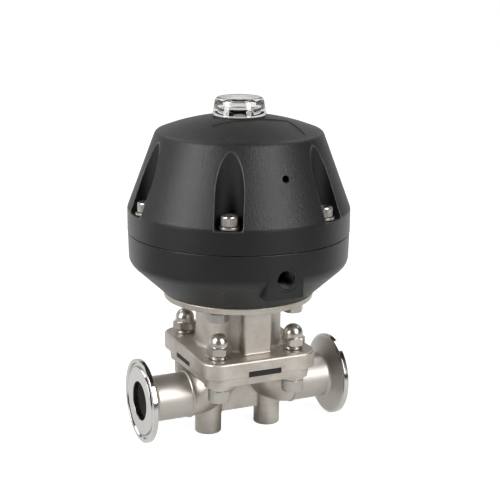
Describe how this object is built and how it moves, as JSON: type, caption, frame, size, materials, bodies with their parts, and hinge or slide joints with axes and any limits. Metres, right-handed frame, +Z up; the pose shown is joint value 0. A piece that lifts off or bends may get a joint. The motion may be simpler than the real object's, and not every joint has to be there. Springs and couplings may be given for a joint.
{
  "type": "pneumatic sanitary diaphragm valve",
  "caption": "Spring-closed diaphragm valve with clamp ferrules, cast steel body and bonnet, and a round black air actuator with a clear position cap.",
  "frame": {"origin": "on the spindle's axis, level with the ends of the body's two legs, which is the bottom centre of the bounding box", "axes": "+Z up along the spindle, X along the pipe with the outlet at +X, the air port faces -Y"},
  "size_m": [0.132, 0.132, 0.2039],
  "materials": {
    "cast_steel": "satin, bead blasted",
    "turned_steel": "fine turned",
    "bright_steel": "polished",
    "black_plastic": "fine grained, glass filled",
    "rubber": "matt",
    "clear_plastic": "clear, polished",
    "bronze": "turned"
  },
  "bodies": {
    "housing": {"valve_body": "cast_steel", "inlet_ferrule": "turned_steel", "outlet_ferrule": "turned_steel", "valve_diaphragm": "rubber", "bonnet": "cast_steel", "spindle_bush": "bronze", "bonnet_seal": "rubber", "actuator_base": "black_plastic", "base_seal": "rubber", "seal_retainer": "turned_steel", "control_diaphragm": "rubber", "spring_outer": "turned_steel", "spring_inner": "turned_steel", "actuator_cover": "black_plastic", "indicator_cap": "clear_plastic", "cap_seal": "rubber", "body_screw_1": "turned_steel", "body_screw_2": "turned_steel", "body_screw_3": "turned_steel", "body_screw_4": "turned_steel", "body_screw_washer_1": "bright_steel", "body_screw_washer_2": "bright_steel", "body_screw_washer_3": "bright_steel", "body_screw_washer_4": "bright_steel", "cap_nut_1": "bright_steel", "cap_nut_2": "bright_steel", "cap_nut_3": "bright_steel", "cap_nut_4": "bright_steel", "cap_nut_washer_1": "bright_steel", "cap_nut_washer_2": "bright_steel", "cap_nut_washer_3": "bright_steel", "cap_nut_washer_4": "bright_steel", "flange_bolt_1": "turned_steel", "flange_bolt_2": "turned_steel", "flange_bolt_3": "turned_steel", "flange_bolt_4": "turned_steel", "flange_bolt_washer_1": "bright_steel", "flange_bolt_washer_2": "bright_steel", "flange_bolt_washer_3": "bright_steel", "flange_bolt_washer_4": "bright_steel", "cover_screw_1": "turned_steel", "cover_screw_2": "turned_steel", "cover_screw_3": "turned_steel", "cover_screw_4": "turned_steel", "cover_screw_5": "turned_steel", "cover_screw_6": "turned_steel", "cover_washer_1": "bright_steel", "cover_washer_2": "bright_steel", "cover_washer_3": "bright_steel", "cover_washer_4": "bright_steel", "cover_washer_5": "bright_steel", "cover_washer_6": "bright_steel"},
    "spindle_set": {"diaphragm_stud": "turned_steel", "compressor": "cast_steel", "compressor_pin": "turned_steel", "spindle": "turned_steel", "support_disc": "turned_steel", "thrust_plate": "turned_steel", "spindle_nut": "turned_steel", "indicator_rod": "turned_steel"}
  },
  "joints": [
    {"name": "spindle_lift", "type": "slide", "parent": "housing", "child": "spindle_set", "axis": [0, 0, 1], "range_m": [0, 0.009], "stiffness_N_per_m": 5000, "springref_m": -0.002, "deforming": ["valve_diaphragm", "control_diaphragm", "spring_outer", "spring_inner"]}
  ]
}
